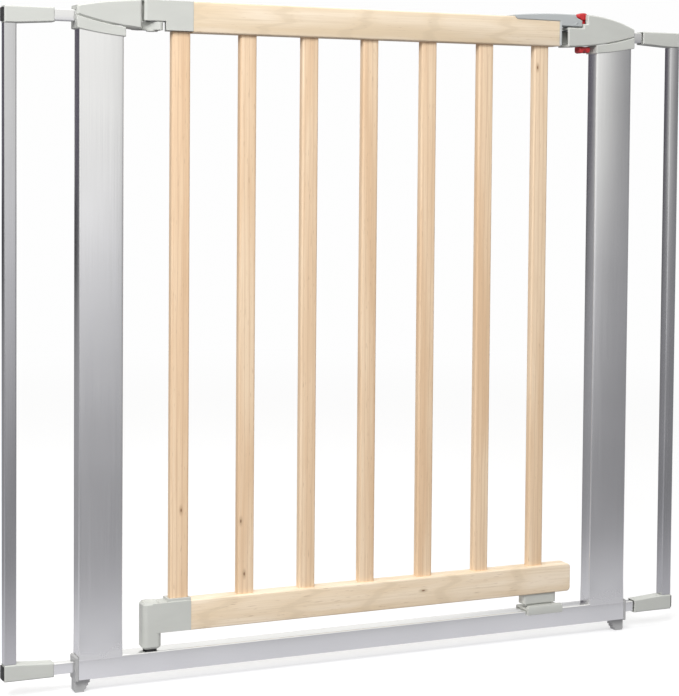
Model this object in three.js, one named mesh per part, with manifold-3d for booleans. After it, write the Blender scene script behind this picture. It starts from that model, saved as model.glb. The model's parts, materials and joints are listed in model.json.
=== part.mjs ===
// Safety baby gate: a welded aluminium frame with a wooden door, a lift-and-swing hinge, a two-finger catch,
// and a telescopic wall frame on each side. Millimetres, +Z up, +X along the gate, -Y towards the front.
// The origin is on the floor, under the middle of the whole gate. The door swings towards +Y.
import * as THREE from 'three';
import { mergeVertices } from 'three/addons/utils/BufferGeometryUtils.js';
import Module from 'manifold-3d';

const wasm = await Module();
wasm.setup();

// ---------------------------------------------------------------- driving dimensions
const GAP = 0.3;              // clearance kept between pieces that touch on the real gate
const RUN = 0.35;             // radial clearance of a pin in its hole

const FRAME_W = 717;          // welded frame, outside to outside
const FRAME_X = 4;            // its middle: the left arms are drawn out 8 mm further than the right ones
const FOOT_H = 15;            // feet below the threshold
const TUBE_WALL = 1.6;
const POST_W = 51;
const POST_D = 23;
const POST_TOP = 746;
const THRESHOLD_H = 24;
const OUTER = { left: FRAME_X - FRAME_W / 2, right: FRAME_X + FRAME_W / 2 };
const THRESHOLD_TOP = FOOT_H + THRESHOLD_H;

const BRACKET_OVERHANG = 3.2; // brackets and end caps stand out past the posts
const BRACKET_D = 26;
const COLLAR_W = POST_W + BRACKET_OVERHANG + 1.7;

const DOOR_Y = -1;            // middle of the door's thickness
const RAIL_D = 21;
const RAIL_H = 35;
const RAIL_CORNER = 3;
const BOTTOM_RAIL_Z = 59;
const TOP_RAIL_Z = 740.6;
const RAIL_LEFT = -222;       // where both rails leave the hinge corners
const TOP_RAIL_RIGHT = 256.6;
const BOTTOM_RAIL_RIGHT = 283;
const TENON = { length: 13, height: 14, depth: 11 };

const SLAT_W = 20.2;
const SLAT_D = 11;
const SLAT_PITCH = 77.5;
const FIRST_SLAT = { x: -245.6, width: 22 };  // the slat beside the hinge: wider, and off the even pitch
const SECOND_SLAT_X = -163.1;
const SLATS = 7;
const MORTISE = 10;           // how deep a slat goes into each rail

const HINGE_X = -268;
const HINGE_R = RAIL_D / 2;
const KNUCKLE_CORNER = 4.5;
const KNUCKLE_REACH = 12.8;
const KNUCKLE_Z = [TOP_RAIL_Z + 1.6, TOP_RAIL_Z + RAIL_H];
const TONGUE = { bottom: 742.4, top: 751.6, corner: 5 };
const COLUMN = { width: 22.4, bottom: 41.4, corner: 6.5, chamfer: 2.6 };
const SOCKET = { bottom: 59.5, top: 93.7, depth: 22 };
const TOP_PIN_R = 3;
const BOTTOM_PIN_R = 4;

const CATCH = { x: 304, z: 752, y: -1, thick: 9, arm: 14 };
const TRIGGER_X = [288, 304];
const TRIGGER_TRAVEL = 3;
const SHELF_Z = 764.4;        // the latch bracket's step, under the handle's nose
const KERB_X = 290.5;         // a low kerb on that step, past the end of the nose
const KERB_Z = 769.4;
const NOSE_RIGHT = 288.9;
const NOSE_BOTTOM = 765.7;

const WALL_X = 437.5;         // outer faces of both wall frames
const WALL_TUBE = { width: 13.8, depth: 13.5 };
const WALL_TUBE_WALL = 1.3;
const CORNER = { length: 56, height: 18.6, mouth: 16, depth: 16 };
const ARM = { height: 12.7, depth: 10, topZ: 755.3, bottomZ: 28.9, past: 54.5 };
const PAD_T = 1.5;

// ---------------------------------------------------------------- materials
function material(color, roughness, metalness) {
  return new THREE.MeshStandardMaterial({ color, roughness, metalness });
}

const ALUMINIUM = material(0xc6c6ca, 0.38, 0.9);
const PLASTIC = material(0xc4c5bf, 0.55, 0);
const WOOD = material(0xe8cda6, 0.6, 0);
const RED = material(0xc0242c, 0.4, 0);
const STEEL = material(0x9a9a9e, 0.3, 1);
const RUBBER = material(0x3a3a3c, 0.85, 0);

// ---------------------------------------------------------------- shape helpers
const gate = new THREE.Group();

function node(name, geometry, look) {
  const mesh = new THREE.Mesh(geometry, look);
  mesh.name = name;
  gate.add(mesh);
}

function solid(geometry) {
  const bare = geometry.clone();
  bare.deleteAttribute('normal');
  bare.deleteAttribute('uv');
  const merged = mergeVertices(bare, 1e-4);
  return new wasm.Manifold(new wasm.Mesh({
    numProp: 3,
    vertProperties: new Float32Array(merged.attributes.position.array),
    triVerts: new Uint32Array(merged.index.array),
  }));
}

function geometryOf(body) {
  const mesh = body.getMesh();
  const geometry = new THREE.BufferGeometry();
  geometry.setAttribute('position', new THREE.BufferAttribute(mesh.vertProperties, 3));
  geometry.setIndex(new THREE.BufferAttribute(mesh.triVerts, 1));
  geometry.computeVertexNormals();
  return geometry;
}

// Joins the first list of geometries and cuts the second one out of them.
function carve(joined, cuts = []) {
  let body = joined.map(solid).reduce((all, next) => all.add(next));
  for (const cut of cuts) body = body.subtract(solid(cut));
  return geometryOf(body);
}

function box(x, y, z) {
  const geometry = new THREE.BoxGeometry(x[1] - x[0], y[1] - y[0], z[1] - z[0]);
  return geometry.translate((x[0] + x[1]) / 2, (y[0] + y[1]) / 2, (z[0] + z[1]) / 2);
}

const around = (middle, size) => [middle - size / 2, middle + size / 2];
const ascending = (a, b) => a - b;

function rod(axis, radius, from, to, a, b, sides = 24) {
  const geometry = new THREE.CylinderGeometry(radius, radius, to - from, sides);
  const middle = (from + to) / 2;
  if (axis === 'x') return geometry.rotateZ(Math.PI / 2).translate(middle, a, b);
  if (axis === 'y') return geometry.translate(a, middle, b);
  return geometry.rotateX(Math.PI / 2).translate(a, b, middle);
}

function roundedRect(width, height, radius) {
  const x = width / 2;
  const y = height / 2;
  const shape = new THREE.Shape();
  shape.moveTo(-x + radius, -y);
  shape.lineTo(x - radius, -y).absarc(x - radius, -y + radius, radius, -Math.PI / 2, 0);
  shape.lineTo(x, y - radius).absarc(x - radius, y - radius, radius, 0, Math.PI / 2);
  shape.lineTo(-x + radius, y).absarc(-x + radius, y - radius, radius, Math.PI / 2, Math.PI);
  shape.lineTo(-x, -y + radius).absarc(-x + radius, -y + radius, radius, Math.PI, 1.5 * Math.PI);
  return shape;
}

const outlineOf = (points) => new THREE.Shape(points.map((p) => new THREE.Vector2(...p)));

// An extrusion between two heights along Z, with a flat bevel inside both ends of the outline.
function extrude(shape, z, bevel, curveSegments) {
  const depth = z[1] - z[0] - 2 * bevel;
  const edge = { bevelEnabled: bevel > 0, bevelSegments: 1 };
  const size = { bevelSize: bevel, bevelThickness: bevel, bevelOffset: -bevel };
  const geometry = new THREE.ExtrudeGeometry(shape, { depth, curveSegments, ...edge, ...size });
  return geometry.translate(0, 0, z[0] + bevel);
}

// A plan outline pulled up along Z.
function pillar(shape, z, curveSegments = 2, bevel = 0) {
  return extrude(shape, z, bevel, curveSegments);
}

// A front outline, given as a shape or as [x, z] points, pulled through Y.
function slab(outline, y, bevel = 0, curveSegments = 6) {
  const shape = outline instanceof THREE.Shape ? outline : outlineOf(outline);
  return extrude(shape, [-y[1], -y[0]], bevel, curveSegments).rotateX(Math.PI / 2);
}

// A side outline, given as [y, z] points, pulled along X.
function bar(points, x) {
  return extrude(outlineOf(points), x, 0, 1).rotateX(Math.PI / 2).rotateZ(Math.PI / 2);
}

function hollow(width, height, radius, wall) {
  const shape = roundedRect(width, height, radius);
  shape.holes.push(roundedRect(width - 2 * wall, height - 2 * wall, Math.max(radius - wall, 0.5)));
  return shape;
}

// Height of a quadratic arc [[u, z], control, [u, z]] at a place u along it.
function arcHeight([a, b, c], u) {
  const p = a[0] - 2 * b[0] + c[0];
  const q = 2 * (b[0] - a[0]);
  const r = a[0] - u;
  const t = Math.abs(p) < 1e-9 ? -r / q : (-q + Math.sqrt(q * q - 4 * p * r)) / (2 * p);
  return a[1] * (1 - t) ** 2 + 2 * b[1] * t * (1 - t) + c[1] * t * t;
}

function arcPoints(arc, from, to, steps) {
  const along = Array.from({ length: steps + 1 }, (_, i) => from + ((to - from) * i) / steps);
  return along.map((u) => [u, arcHeight(arc, u)]);
}

// ---------------------------------------------------------------- welded frame
function post(name, x) {
  const tube = pillar(hollow(POST_W, POST_D, 3, TUBE_WALL), [THRESHOLD_TOP + GAP, POST_TOP]);
  node(name, tube.translate(x, 0, 0), ALUMINIUM);
}

function threshold() {
  const profile = hollow(THRESHOLD_H, POST_D, 2, TUBE_WALL);
  const tube = pillar(profile, [OUTER.left, OUTER.right]).rotateY(Math.PI / 2);
  tube.translate(0, 0, FOOT_H + THRESHOLD_H / 2);
  const pinHole = rod('z', BOTTOM_PIN_R + RUN, THRESHOLD_TOP - 5, THRESHOLD_TOP + 5, HINGE_X, DOOR_Y);
  const screwHoles = ['left', 'right'].map((side) => armScrewHole(side, ARM.bottomZ));
  node('threshold', carve([tube], [pinHole, ...screwHoles]), ALUMINIUM);
}

// A cap plugs each end of the threshold, guides the lower arm, and carries the foot.
function endCap(side) {
  const out = side === 'left' ? -1 : 1;
  const face = OUTER[side];
  const x = (inner, outer) => [face - out * inner, face + out * outer].sort(ascending);
  const toe = BRACKET_OVERHANG;
  const profile = [[GAP, FOOT_H - 1], [toe, FOOT_H - 1], [toe, 39.6], [toe - 1.6, 41.2], [GAP, 41.2]];
  const plate = slab(profile.map(([u, z]) => [face + out * u, z]), around(0, 24), 0);
  const plug = box(x(20, 1), around(0, 19), around(FOOT_H + THRESHOLD_H / 2, 20));
  const teeth = [0, 1, 2, 3].flatMap((i) => [[-17 + 2 * i, 14.3 - 3.4 * i], [-14.4 + 2 * i, 13 - 3.4 * i]]);
  const sole = [[toe, 15], [toe, 1.5], [toe - 1.5, 0], [-8.2, 0]];
  const outline = [...sole, ...teeth.reverse(), [-17, FOOT_H - GAP], [0, FOOT_H - GAP]];
  const foot = slab(outline.map(([u, z]) => [face + out * u, z]), [-5.5, 6.5]);
  const passage = box(x(25, 8), around(0, ARM.depth + 2 * GAP), around(ARM.bottomZ, ARM.height + 2 * GAP));
  node(`${side}_end_cap`, carve([plate, plug, foot], [passage, armScrewHole(side, ARM.bottomZ)]), PLASTIC);
}

// ---------------------------------------------------------------- top brackets
// Heights along each bracket, measured inwards (u) from its wall end.
const ARCS = {
  left: {
    length: 74.5,
    crown: [[0, 766.8], [28, 773.6], [74.5, 776]],
    seam: [[0, 756], [30, 746.1], [74.5, 742.4]],
  },
  right: {
    length: 97.1,
    crown: [[0, 764.8], [31, 779.3], [69.5, 781.2]],
    seam: [[0, 755], [50, 741], [97.1, 740.2]],
  },
};
const COLLAR_FOOT = [[0, 741.3], [29, 735.1], [COLLAR_W, 733.5]];
const ARC_STEPS = 12;

function bracketX(side, u) {
  return side === 'left' ? OUTER.left - BRACKET_OVERHANG + u : OUTER.right + BRACKET_OVERHANG - u;
}

const onBracket = (side, points) => points.map(([u, z]) => [bracketX(side, u), z]);

function armScrewHole(side, z) {
  return rod('y', 2, ARM.depth / 2 - 1, 14, bracketX(side, 15), z, 12);
}

// What a bracket piece leaves free: the post's head, the sliding arm and its screw.
function bracketCuts(side) {
  const postX = (bracketX(side, BRACKET_OVERHANG) + bracketX(side, BRACKET_OVERHANG + POST_W)) / 2;
  const head = pillar(roundedRect(POST_W + 2 * GAP, POST_D + 2 * GAP, 3), [720, POST_TOP + GAP]);
  head.translate(postX, 0, 0);
  const reach = [bracketX(side, -5), bracketX(side, side === 'left' ? 70 : 56)].sort(ascending);
  const passage = box(reach, around(0, ARM.depth + 2 * GAP), around(ARM.topZ, ARM.height + 2 * GAP));
  return [head, passage, armScrewHole(side, ARM.topZ)];
}

function collar(side) {
  const { seam } = ARCS[side];
  const top = arcPoints(seam, 0, COLLAR_W, ARC_STEPS).map(([u, z]) => [u, z - GAP / 2]);
  const outline = [...top, ...arcPoints(COLLAR_FOOT, 0, COLLAR_W, ARC_STEPS).reverse()];
  const ring = slab(onBracket(side, outline), around(0, BRACKET_D), 0.8);
  node(`${side}_post_collar`, carve([ring], bracketCuts(side)), PLASTIC);
}

function coverOutline(side, crownEnd) {
  const { crown, seam, length } = ARCS[side];
  const top = arcPoints(crown, 0, crownEnd, ARC_STEPS);
  const bottom = arcPoints(seam, 0, length, ARC_STEPS).map(([u, z]) => [u, z + GAP / 2]);
  return { top, bottom };
}

// The hinge-side cover ends in a rounded tongue that the top hinge pin stands in.
function hingeCover() {
  const { top, bottom } = coverOutline('left', ARCS.left.length);
  const cover = slab(onBracket('left', [...top, ...bottom.reverse()]), around(0, BRACKET_D), 2);
  const coverEnd = bracketX('left', ARCS.left.length);
  const [front, rear] = [-BRACKET_D / 2, DOOR_Y + HINGE_R];
  const arcX = HINGE_X + HINGE_R - TONGUE.corner;
  const plan = new THREE.Shape();
  plan.moveTo(coverEnd - 6, front).absarc(arcX, front + TONGUE.corner, TONGUE.corner, -Math.PI / 2, 0);
  plan.absarc(arcX, rear - TONGUE.corner, TONGUE.corner, 0, Math.PI / 2).lineTo(coverEnd - 6, rear);
  const tongue = pillar(plan, [TONGUE.bottom, TONGUE.top], 8);
  const boss = rod('z', 6.6, TONGUE.bottom - 1.6, TONGUE.bottom + 1, HINGE_X, DOOR_Y, 32);
  const pinHole = rod('z', TOP_PIN_R + RUN, TONGUE.bottom, TONGUE.top + 5, HINGE_X, DOOR_Y);
  node('left_bracket_cover', carve([cover, tongue, boss], [...bracketCuts('left'), pinHole]), PLASTIC);
}

// The latch-side cover has a step for the handle's nose, and slots for the catch, its arm and the trigger.
function latchCover() {
  const stepX = 296.4;
  const { top, bottom } = coverOutline('right', bracketX('right', 0) - stepX);
  const wallEnd = bracketX('right', 0);
  const kerb = [[wallEnd - stepX, KERB_Z], [wallEnd - KERB_X, KERB_Z], [wallEnd - KERB_X, SHELF_Z]];
  const shelf = [...kerb, [ARCS.right.length, SHELF_Z]];
  const cover = slab(onBracket('right', [...top, ...shelf, ...bottom.reverse()]), around(0, BRACKET_D), 1.5);
  const slotY = around(CATCH.y, CATCH.thick + 3);
  const cuts = [
    box([290.8, 310.5], slotY, [SHELF_Z - 6, 800]),
    box([285, 310.5], slotY, [747.8, 759]),
    rod('y', 5.6, slotY[0], slotY[1], CATCH.x, CATCH.z),
    box([TRIGGER_X[0] - 0.8, TRIGGER_X[1] + 0.8], around(DOOR_Y, 14.4), [700, 745]),
    rod('z', 4.2, 740, 750, CATCH.x - CATCH.arm, CATCH.y),
    box([270.6, 284.8], [-4.6, 20], [760, 770]),
    rod('y', 2 + GAP, -11, 9, CATCH.x, CATCH.z, 16),
  ];
  node('right_bracket_cover', carve([cover], [...bracketCuts('right'), ...cuts]), PLASTIC);
  node('catch_pivot_pin', rod('y', 2, -10.5, 8.5, CATCH.x, CATCH.z, 16), STEEL);
}

// ---------------------------------------------------------------- catch and trigger
function thumbCatch() {
  const y = around(CATCH.y, CATCH.thick);
  const arm = slab([[286.5, 749], [304, 749], [304, 755], [298.5, 757], [286.5, 754]], y);
  const stem = slab([[292.5, 752], [298.5, 752], [298.5, 779], [292.5, 779]], y);
  const head = new THREE.Shape();
  head.moveTo(286.8, 777.6).lineTo(292.5, 774.9).lineTo(301.2, 774.9).lineTo(301.2, 780.6);
  head.quadraticCurveTo(300.2, 783.6, 295.5, 783.6).quadraticCurveTo(287.4, 783.4, 286.8, 780);
  const boss = rod('y', 5, y[0], y[1], CATCH.x, CATCH.z);
  const bore = rod('y', 2 + RUN, y[0] - 1, y[1] + 1, CATCH.x, CATCH.z, 16);
  node('thumb_catch', carve([arm, stem, slab(head, y, 1), boss], [bore]), RED);
}

function fingerTrigger() {
  const top = 741.5;
  const [left, right] = TRIGGER_X;
  const outline = new THREE.Shape();
  outline.moveTo(left, top).lineTo(left, 737).quadraticCurveTo(left, 733.3, left + 3.6, 733.3);
  outline.bezierCurveTo(left + 6.6, 733.3, left + 5.8, 736.6, left + 8.2, 736.6);
  outline.bezierCurveTo(right - 5.8, 736.6, right - 6, 734.1, right - 3.8, 733.9);
  outline.quadraticCurveTo(right, 733.9, right, 737.5).lineTo(right, top);
  const x = CATCH.x - CATCH.arm;
  const post = rod('z', 2, top - 2, 748.6, x, CATCH.y, 16);
  node('finger_trigger', carve([slab(outline, around(DOOR_Y, 13), 1), post]), RED);
  node('trigger_spring', coil(x, CATCH.y, [top + 0.6, 746.4], 3.2, 0.35, 3), STEEL);
}

function coil(x, y, z, radius, wire, turns) {
  const steps = turns * 12;
  const points = Array.from({ length: steps + 1 }, (_, i) => {
    const angle = (2 * Math.PI * turns * i) / steps;
    const height = z[0] + ((z[1] - z[0]) * i) / steps;
    return new THREE.Vector3(x + radius * Math.cos(angle), y + radius * Math.sin(angle), height);
  });
  const section = new THREE.Shape(new THREE.EllipseCurve(0, 0, wire, wire).getPoints(5).slice(0, -1));
  const path = new THREE.CatmullRomCurve3(points);
  return new THREE.ExtrudeGeometry(section, { steps, extrudePath: path, bevelEnabled: false });
}

// ---------------------------------------------------------------- door
function slatPlace(i) {
  return i === 0 ? FIRST_SLAT : { x: SECOND_SLAT_X + (i - 1) * SLAT_PITCH, width: SLAT_W };
}

const SLAT_Z = [BOTTOM_RAIL_Z + RAIL_H - MORTISE, TOP_RAIL_Z + MORTISE];

function slat(i) {
  const { x, width } = slatPlace(i);
  const bar = pillar(roundedRect(width, SLAT_D, 2.5), SLAT_Z, 3);
  node(`slat_${i + 1}`, bar.translate(x + width / 2, DOOR_Y, 0), WOOD);
}

function mortises() {
  const z = [SLAT_Z[0] - GAP, SLAT_Z[1] + GAP];
  return Array.from({ length: SLATS }, (_, i) => {
    const { x, width } = slatPlace(i);
    return box([x - GAP, x + width + GAP], around(DOOR_Y, SLAT_D + 2 * GAP), z);
  });
}

const TENON_Z = { bottom: 71, top: 764 };

function rail(name, z, right, tenonZ, cuts) {
  const length = right - RAIL_LEFT - GAP;
  const shape = roundedRect(RAIL_D, RAIL_H, RAIL_CORNER);
  const beam = extrude(shape, [0, length], 0, 4);
  beam.rotateX(Math.PI / 2).rotateZ(Math.PI / 2).translate(RAIL_LEFT + GAP, DOOR_Y, z + RAIL_H / 2);
  const tenonX = [RAIL_LEFT - TENON.length, RAIL_LEFT + 5];
  const tenon = box(tenonX, around(DOOR_Y, TENON.depth), around(tenonZ, TENON.height));
  node(name, carve([beam, tenon], [...mortises(), ...cuts]), WOOD);
}

function rails() {
  const handleScrewHole = rod('x', 1.9, 243, 262, DOOR_Y, 756, 12);
  const topCuts = [handleScrewHole, cornerScrewHole(TENON_Z.top)];
  rail('top_rail', TOP_RAIL_Z, TOP_RAIL_RIGHT, TENON_Z.top, topCuts);
  const blockHoles = BLOCK_SCREWS.map((x) => rod('z', 1.9, 50, 72.5, x, DOOR_Y, 12));
  const bottomCuts = [cornerScrewHole(TENON_Z.bottom), ...blockHoles];
  rail('bottom_rail', BOTTOM_RAIL_Z, BOTTOM_RAIL_RIGHT, TENON_Z.bottom, bottomCuts);
}

function tenonSocket(z) {
  const x = [RAIL_LEFT - TENON.length - GAP, RAIL_LEFT + 5];
  return box(x, around(DOOR_Y, TENON.depth + 2 * GAP), around(z, TENON.height + 2 * GAP));
}

const CORNER_SCREW_X = RAIL_LEFT - 7;
const cornerScrewHole = (z) => rod('y', 1.9, -4, 12, CORNER_SCREW_X, z, 12);

// A plan for the knuckle: round about the hinge axis behind, so that it clears the bracket as it turns, with a
// rounded corner in front, and carried on to where the rail leaves it.
function knucklePlan(half, corner) {
  const rearAngle = Math.asin(half / KNUCKLE_REACH);
  const plan = new THREE.Shape();
  plan.moveTo(RAIL_LEFT, -half).lineTo(RAIL_LEFT, half);
  plan.absarc(HINGE_X, 0, KNUCKLE_REACH, Math.PI - rearAngle, Math.PI);
  plan.absarc(HINGE_X - KNUCKLE_REACH + corner, -half + corner, corner, Math.PI, 1.5 * Math.PI);
  return plan;
}

function topHingeCorner() {
  const body = pillar(knucklePlan(HINGE_R, KNUCKLE_CORNER), KNUCKLE_Z, 8).translate(0, DOOR_Y, 0);
  const slantedWall = [[HINGE_X + 11.2, -20], [HINGE_X + 21.1, 20]];
  const notchPlan = outlineOf([[HINGE_X - 20, -20], ...slantedWall, [HINGE_X - 20, 20]]);
  const notch = pillar(notchPlan, [700, TONGUE.top + 0.9]);
  const bore = rod('z', TOP_PIN_R + RUN, 745, 770.5, HINGE_X, DOOR_Y);
  const cuts = [notch, bore, mortises()[0], tenonSocket(TENON_Z.top), cornerScrewHole(TENON_Z.top)];
  node('top_hinge_corner', carve([body], cuts), PLASTIC);
}

function bottomHingeCorner() {
  const plan = roundedRect(COLUMN.width, SOCKET.depth, COLUMN.corner);
  const column = pillar(plan, [COLUMN.bottom, SOCKET.top + 1.2], 6, COLUMN.chamfer);
  column.translate(HINGE_X, DOOR_Y, 0);
  const arm = box([HINGE_X, RAIL_LEFT], around(DOOR_Y, SOCKET.depth), [SOCKET.bottom, SOCKET.top]);
  const rimZ = [SOCKET.top - 2, SOCKET.top + 3.3];
  const rim = box([FIRST_SLAT.x - 3.6, RAIL_LEFT], around(DOOR_Y, SLAT_D + 8), rimZ);
  const bore = rod('z', BOTTOM_PIN_R + RUN, 30, 68, HINGE_X, DOOR_Y);
  const slatSocket = mortises()[0];
  const cuts = [bore, slatSocket, tenonSocket(TENON_Z.bottom), cornerScrewHole(TENON_Z.bottom)];
  node('bottom_hinge_corner', carve([column, arm, rim], cuts), PLASTIC);
}

// A cap over the top rail's latch end, with a nose that rests on the latch bracket's step.
function handle() {
  const crown = [[193.2, 777.6], [236, 781.6], [279.5, 780.6]];
  const nose = [[281.2, 776.6], [NOSE_RIGHT, 773.4], [NOSE_RIGHT, NOSE_BOTTOM], [260.2, NOSE_BOTTOM]];
  const railEnd = TOP_RAIL_RIGHT + GAP;
  const skirt = [[260.2, 741.4], [railEnd, 741.4], [railEnd, 771.4], [196.5, 772], [193.2, 774.6]];
  const top = arcPoints(crown, 193.2, 279.5, ARC_STEPS);
  const shell = slab([...top, ...nose, ...skirt], around(DOOR_Y, 23.4), 1);
  const railTop = TOP_RAIL_Z + RAIL_H;
  const railRoom = box([150, railEnd], around(DOOR_Y, RAIL_D + 2 * GAP), [700, railTop + GAP]);
  const key = box([272, 283.5], [-3.5, 6], [760.8, NOSE_BOTTOM + 2]);
  const catchRoom = box([286.2, 300], around(CATCH.y, CATCH.thick + 1.4), [NOSE_BOTTOM + 2.4, 800]);
  const screwHole = rod('x', 1.9, 250, 265, DOOR_Y, 756, 12);
  node('latch_handle', carve([shell, key], [railRoom, catchRoom, screwHole]), PLASTIC);
}

const BLOCK_X = [217.4, 264.4];
const BLOCK_BOTTOM = 46.7;
const BLOCK_SCREWS = [229, 253];

function catchBlock() {
  const plan = roundedRect(BLOCK_X[1] - BLOCK_X[0], 15, 4);
  const body = pillar(plan, [BLOCK_BOTTOM, BOTTOM_RAIL_Z - GAP], 6);
  body.translate((BLOCK_X[0] + BLOCK_X[1]) / 2, DOOR_Y, 0);
  const tongue = box([BLOCK_X[0] + 6, BLOCK_X[1] - 6], around(DOOR_Y, 12), [43.8, BLOCK_BOTTOM + 1]);
  const holes = BLOCK_SCREWS.map((x) => rod('z', 1.9, 40, 70, x, DOOR_Y, 12));
  const headRooms = BLOCK_SCREWS.map((x) => rod('z', 3.6, 40, 48.4, x, DOOR_Y, 16));
  node('bottom_catch_block', carve([body, tongue], [...holes, ...headRooms]), PLASTIC);
}

// A clip over the threshold: its raised front lip stops the door from swinging to the front.
function saddleClip() {
  const x = [220, 270];
  const top = THRESHOLD_TOP + GAP;
  const lip = [[-15, 34], [-15.4, 38.5], [-15, 43.2], [-14.3, 45.4], [-13.4, 46.6], [-12.3, 46.8]];
  const valley = [[-11.2, 46.1], [-10.4, 44.2], [-9.4, top + 3.2], [-7.6, top + 2.6]];
  const rear = [[13.6, top + 2.6], [15, top + 1.2], [15, 34], [12 - GAP, 34], [12 - GAP, top]];
  node('saddle_clip', carve([bar([...lip, ...valley, ...rear, [-11.8, top], [-11.8, 34]], x)]), PLASTIC);
}

// ---------------------------------------------------------------- pins and screws
function hingePins() {
  node('top_hinge_pin', rod('z', TOP_PIN_R, TONGUE.bottom + GAP, 769, HINGE_X, DOOR_Y), STEEL);
  node('bottom_hinge_pin', rod('z', BOTTOM_PIN_R, FOOT_H + TUBE_WALL + GAP, 62, HINGE_X, DOOR_Y), STEEL);
  const ring = rod('z', 8, THRESHOLD_TOP + GAP, COLUMN.bottom - GAP, HINGE_X, DOOR_Y, 32);
  node('pivot_washer', carve([ring], [rod('z', BOTTOM_PIN_R + RUN, 30, 50, HINGE_X, DOOR_Y)]), RUBBER);
}

function panScrew(name, head, shank) {
  node(name, carve([head, shank]), STEEL);
}

function screws() {
  for (const side of ['left', 'right']) {
    const x = bracketX(side, 15);
    const seats = { upper: [ARM.topZ, BRACKET_D / 2], lower: [ARM.bottomZ, POST_D / 2] };
    for (const [level, [z, y]] of Object.entries(seats)) {
      const head = rod('y', 3.6, y + GAP, y + 2, x, z, 16);
      panScrew(`${side}_${level}_arm_screw`, head, rod('y', 1.6, ARM.depth / 2 + 2 * GAP, y + 1, x, z, 12));
    }
  }
  const back = DOOR_Y + RAIL_D / 2;
  const corners = [['top', TENON_Z.top, back], ['bottom', TENON_Z.bottom, DOOR_Y + SOCKET.depth / 2]];
  for (const [name, z, face] of corners) {
    const head = rod('y', 3.4, face + GAP, face + 1.8, CORNER_SCREW_X, z, 16);
    panScrew(`${name}_corner_screw`, head, rod('y', 1.6, -3, face + 1, CORNER_SCREW_X, z, 12));
  }
  const handleHead = rod('x', 3.6, 260.5, 262.2, DOOR_Y, 756, 16);
  panScrew('handle_screw', handleHead, rod('x', 1.6, 244, 261, DOOR_Y, 756, 12));
  BLOCK_SCREWS.forEach((x, i) => {
    const head = rod('z', 3.2, 46.2, 48.1, x, DOOR_Y, 16);
    panScrew(`block_screw_${i + 1}`, head, rod('z', 1.6, 47, 72, x, DOOR_Y, 12));
  });
}

// ---------------------------------------------------------------- telescopic wall frames
function wallFrame(side) {
  const out = side === 'left' ? -1 : 1;
  const x = (inner, outer) => [out * inner, out * outer].sort(ascending);
  const tubeX = out * (WALL_X - WALL_TUBE.width / 2);
  const levels = { upper: { z: ARM.topZ, up: 1 }, lower: { z: ARM.bottomZ, up: -1 } };
  const legEnds = [];
  for (const [level, { z, up }] of Object.entries(levels)) {
    const mouthX = WALL_X - CORNER.length;
    const far = z + (up * CORNER.mouth) / 2;
    const near = far - up * CORNER.height;
    const heel = [[WALL_X, far], [WALL_X, near], [WALL_X - 16, near]];
    const outline = [...heel, [mouthX, far - up * CORNER.mouth], [mouthX, far]];
    const shell = slab(outline.map(([u, h]) => [out * u, h]), around(0, CORNER.depth), 1.2);
    const plugZ = [near - up * 15, near + up * 3].sort(ascending);
    const plug = box(around(tubeX, 10.4), around(0, 10.4), plugZ);
    const cavityZ = around(z, ARM.height + 2 * GAP);
    const cavity = box(x(mouthX - 5, WALL_X - 12), around(0, ARM.depth + 2 * GAP), cavityZ);
    node(`${side}_${level}_corner`, carve([shell, plug], [cavity]), PLASTIC);
    const armEnds = x(mouthX - ARM.past, WALL_X - 12 - GAP);
    const arm = box(armEnds, around(0, ARM.depth), around(z, ARM.height));
    const boreX = [armEnds[0] - 1, armEnds[1] + 1];
    const bore = box(boreX, around(0, ARM.depth - 2.4), around(z, ARM.height - 2.4));
    node(`${side}_${level}_arm`, carve([arm], [bore]), ALUMINIUM);
    const pad = box(x(WALL_X + GAP, WALL_X + PAD_T + GAP), around(0, 12), around((far + near) / 2, 15));
    node(`${side}_${level}_wall_pad`, pad, RUBBER);
    legEnds.push(near - up * GAP);
  }
  const section = hollow(WALL_TUBE.width, WALL_TUBE.depth, 1.5, WALL_TUBE_WALL);
  const leg = pillar(section, legEnds.sort(ascending));
  node(`${side}_wall_tube`, leg.translate(tubeX, 0, 0), ALUMINIUM);
}

// ---------------------------------------------------------------- the whole gate
post('left_post', OUTER.left + POST_W / 2);
post('right_post', OUTER.right - POST_W / 2);
threshold();
for (const side of ['left', 'right']) {
  endCap(side);
  collar(side);
  wallFrame(side);
}
hingeCover();
latchCover();
thumbCatch();
fingerTrigger();
for (let i = 0; i < SLATS; i += 1) slat(i);
rails();
topHingeCorner();
bottomHingeCorner();
handle();
catchBlock();
saddleClip();
hingePins();
screws();

export default gate;
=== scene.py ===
"""Looks for the safety baby gate: every CAD node gets a detailed piece with a procedural material.

Blender units are metres, in the CAD's own frame: +X along the gate, -Y to the front, +Z up, and the
origin on the floor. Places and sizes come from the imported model's nodes. What is written here as a
number is detail finer than the CAD, or a look.
"""
import json
import math

import bmesh
import bpy
from mathutils import Matrix, Vector


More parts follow.
